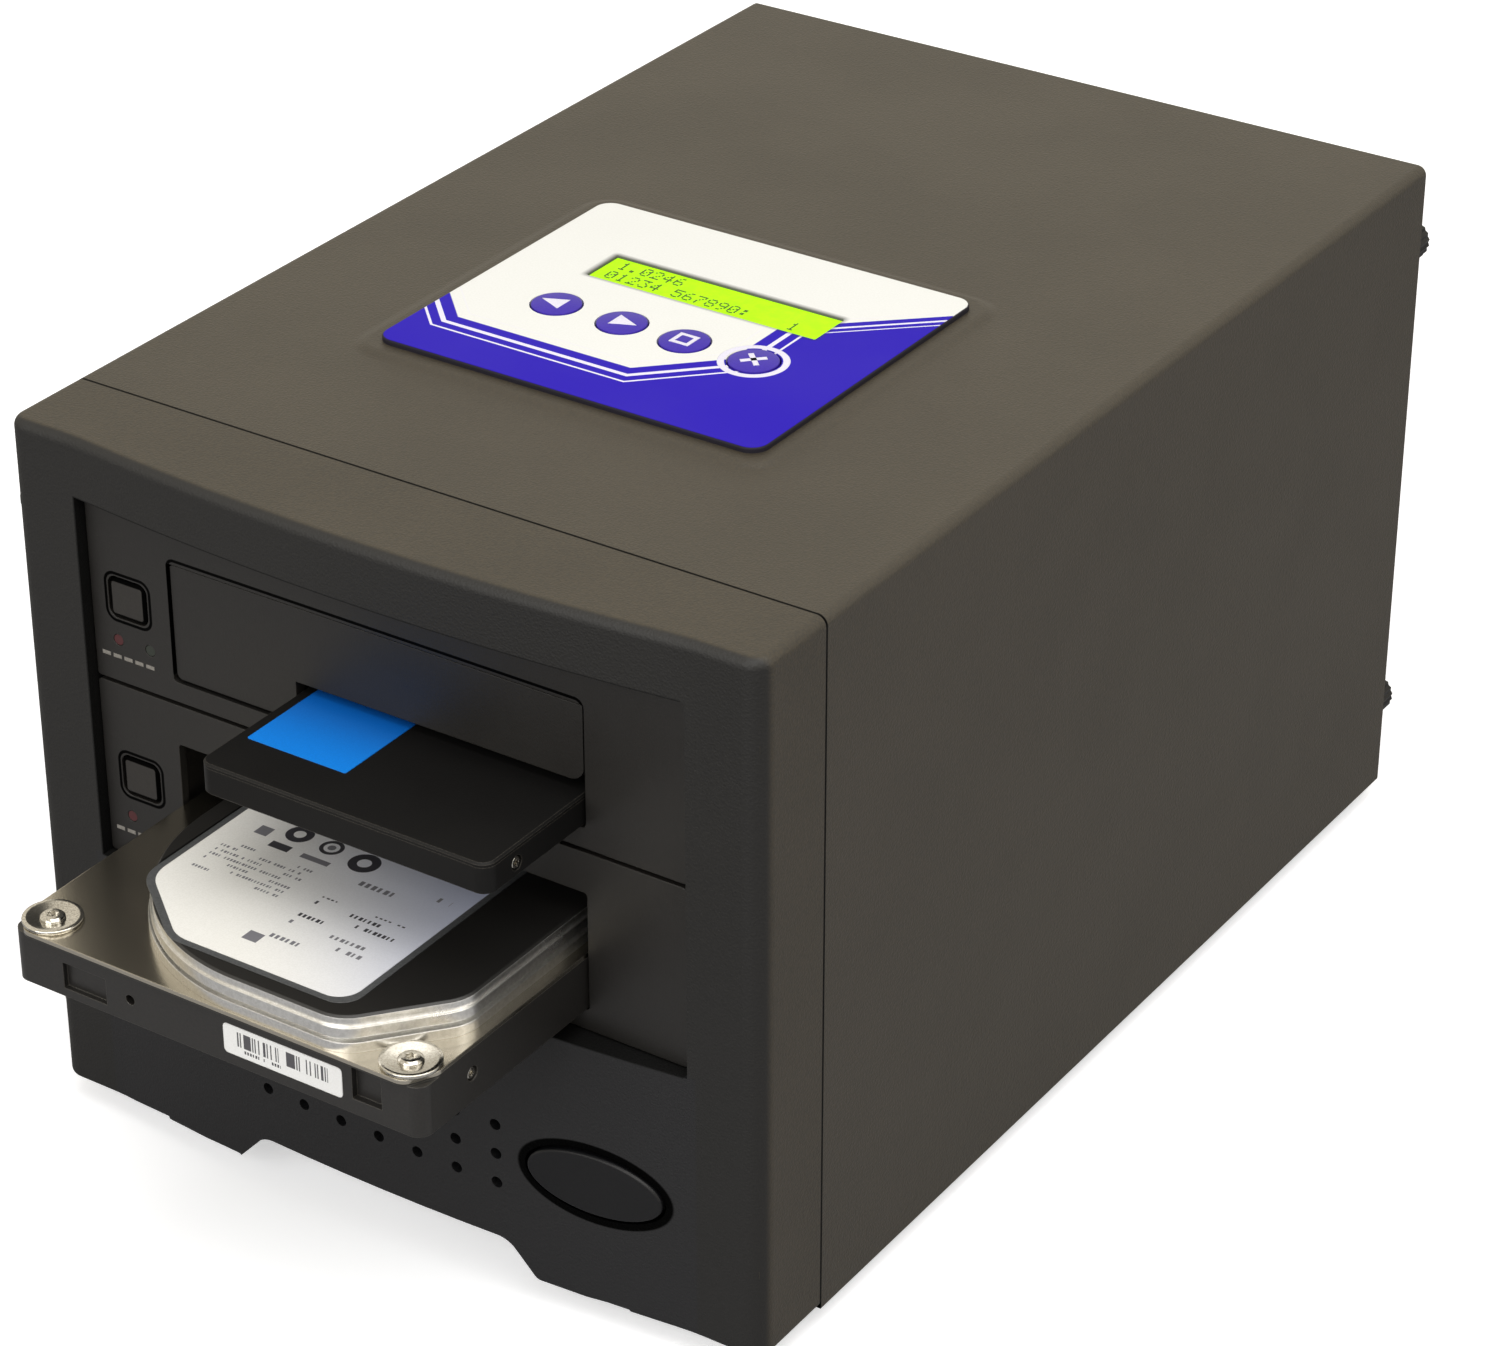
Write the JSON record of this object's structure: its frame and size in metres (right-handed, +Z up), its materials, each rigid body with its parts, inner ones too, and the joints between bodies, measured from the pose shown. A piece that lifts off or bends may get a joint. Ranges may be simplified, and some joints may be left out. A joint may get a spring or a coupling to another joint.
{
  "type": "drive duplicator",
  "caption": "Desktop box with front drive racks that hold a small and a large disk drive, a top control panel with display and keys, and a rear fan and supply.",
  "frame": {"origin": "on the surface under the feet, below the middle of the case (the drives' overhang is left out)", "axes": "+Z up, the front with the drive racks faces -Y, +X to the right when looking at the front"},
  "size_m": [0.183, 0.33, 0.1685],
  "materials": {
    "bezel": "satin moulded black plastic",
    "power_key": "glossy black plastic",
    "switch_body": "black thermoplastic",
    "steel_sheet": "bare zinc-plated sheet",
    "cover_paint": "fine textured grey-brown powder paint",
    "black_screw": "black steel",
    "foot_rubber": "black rubber",
    "zinc": "zinc-plated steel",
    "rack_black": "satin black plastic",
    "rack_key": "glossy black key",
    "lamp_board": "green circuit board with lamps",
    "circuit_board": "green solder mask",
    "plug_black": "black connector plastic",
    "drive_casting": "black painted casting with bare edges",
    "drive_cover": "black painted cover with polished steps",
    "paper_label": "white printed paper",
    "bright_screw": "nickel-plated screws",
    "ssd_black": "fine black anodised shell",
    "blue_sticker": "blue film sticker",
    "panel_print": "white and violet printed film",
    "display": "yellow-green liquid crystal display",
    "panel_keys": "violet rubber-backed keys",
    "heatsink": "extruded aluminium",
    "brass_post": "brass standoffs",
    "fan_plastic": "black glass-filled plastic",
    "guard_wire": "plated steel wire",
    "spring_steel": "spring steel"
  },
  "bodies": {
    "case": {"board_standoffs": "brass_post", "cage_left": "steel_sheet", "cage_right": "steel_sheet", "chassis": "steel_sheet", "controller_board": "circuit_board", "cover_thumbscrews": "black_screw", "foot_screws": "zinc", "front_bezel": "bezel", "heatsink": "heatsink", "lcd_module": "display", "lower_backplane": "circuit_board", "lower_door_pin": "zinc", "lower_lamp_board": "lamp_board", "lower_rack_body": "rack_black", "lower_rack_faceplate": "rack_black", "lower_socket": "plug_black", "panel_board": "circuit_board", "panel_plate": "panel_print", "power_switch": "switch_body", "psu_case": "steel_sheet", "psu_inlet": "plug_black", "psu_switch_frame": "plug_black", "rack_screws": "zinc", "rear_fan_frame": "fan_plastic", "rear_fan_guard": "guard_wire", "rear_screws": "zinc", "rubber_feet": "foot_rubber", "top_cover": "cover_paint", "upper_backplane": "circuit_board", "upper_door_pin": "zinc", "upper_lamp_board": "lamp_board", "upper_rack_body": "rack_black", "upper_rack_faceplate": "rack_black", "upper_socket": "plug_black"},
    "power_button": {"power_button": "power_key"},
    "key_left": {"key_left": "panel_keys"},
    "key_right": {"key_right": "panel_keys"},
    "key_enter": {"key_enter": "panel_keys"},
    "key_cancel": {"key_cancel": "panel_keys"},
    "lower_rack_button": {"lower_rack_button": "rack_key"},
    "upper_rack_button": {"upper_rack_button": "rack_key"},
    "lower_door": {"lower_rack_door": "rack_black", "lower_door_spring": "spring_steel"},
    "upper_door": {"upper_rack_door": "rack_black", "upper_door_spring": "spring_steel"},
    "hdd": {"hdd_base": "drive_casting", "hdd_cover": "drive_cover", "hdd_label": "paper_label", "hdd_front_label": "paper_label", "hdd_screws": "bright_screw", "hdd_board": "circuit_board", "hdd_plug": "plug_black"},
    "ssd": {"ssd_case": "ssd_black", "ssd_lid": "ssd_black", "ssd_screws": "bright_screw", "ssd_sticker": "blue_sticker", "ssd_plug": "plug_black"},
    "psu_rocker": {"psu_rocker": "power_key"},
    "psu_fan": {"psu_fan_rotor": "fan_plastic"},
    "rear_fan": {"rear_fan_rotor": "fan_plastic"}
  },
  "joints": [
    {"name": "hdd_slide", "type": "slide", "parent": "case", "child": "hdd", "axis": [0, 1, 0], "range_m": [-0.08, 0]},
    {"name": "ssd_slide", "type": "slide", "parent": "case", "child": "ssd", "axis": [0, 1, 0], "range_m": [-0.056, 0.0235]},
    {"name": "lower_door_swing", "type": "hinge", "parent": "case", "child": "lower_door", "pos_m": [-0.002, -0.1293, 0.1027], "axis": [1, 0, 0], "range_deg": [0, 10], "stiffness_Nm_per_rad": 0.003, "springref_deg": -97.4},
    {"name": "upper_door_swing", "type": "hinge", "parent": "case", "child": "upper_door", "pos_m": [-0.002, -0.1293, 0.145], "axis": [1, 0, 0], "range_deg": [0, 85], "stiffness_Nm_per_rad": 0.003, "springref_deg": -20.05},
    {"name": "lower_rack_button_press", "type": "slide", "parent": "case", "child": "lower_rack_button", "axis": [0, 1, 0], "range_m": [0, 0.0012], "stiffness_N_per_m": 600, "springref_m": -0.001},
    {"name": "upper_rack_button_press", "type": "slide", "parent": "case", "child": "upper_rack_button", "axis": [0, 1, 0], "range_m": [0, 0.0012], "stiffness_N_per_m": 600, "springref_m": -0.001},
    {"name": "power_button_press", "type": "slide", "parent": "case", "child": "power_button", "axis": [0, 1, 0], "range_m": [0, 0.0022], "stiffness_N_per_m": 500, "springref_m": -0.001},
    {"name": "key_left_press", "type": "slide", "parent": "case", "child": "key_left", "axis": [0, 0, -1], "range_m": [0, 0.0006], "stiffness_N_per_m": 1500, "springref_m": -0.0004},
    {"name": "key_right_press", "type": "slide", "parent": "case", "child": "key_right", "axis": [0, 0, -1], "range_m": [0, 0.0006], "stiffness_N_per_m": 1500, "springref_m": -0.0004},
    {"name": "key_enter_press", "type": "slide", "parent": "case", "child": "key_enter", "axis": [0, 0, -1], "range_m": [0, 0.0006], "stiffness_N_per_m": 1500, "springref_m": -0.0004},
    {"name": "key_cancel_press", "type": "slide", "parent": "case", "child": "key_cancel", "axis": [0, 0, -1], "range_m": [0, 0.0006], "stiffness_N_per_m": 1500, "springref_m": -0.0004},
    {"name": "psu_rocker_tilt", "type": "hinge", "parent": "case", "child": "psu_rocker", "pos_m": [-0.0207, 0.131, 0.0365], "axis": [0, 0, 1], "range_deg": [0, 18]},
    {"name": "psu_fan_spin", "type": "hinge", "parent": "case", "child": "psu_fan", "pos_m": [-0.0587, 0.13, 0.02625], "axis": [0, 1, 0], "continuous": true},
    {"name": "rear_fan_spin", "type": "hinge", "parent": "case", "child": "rear_fan", "pos_m": [0.042, 0.1215, 0.112], "axis": [0, 1, 0], "continuous": true}
  ]
}
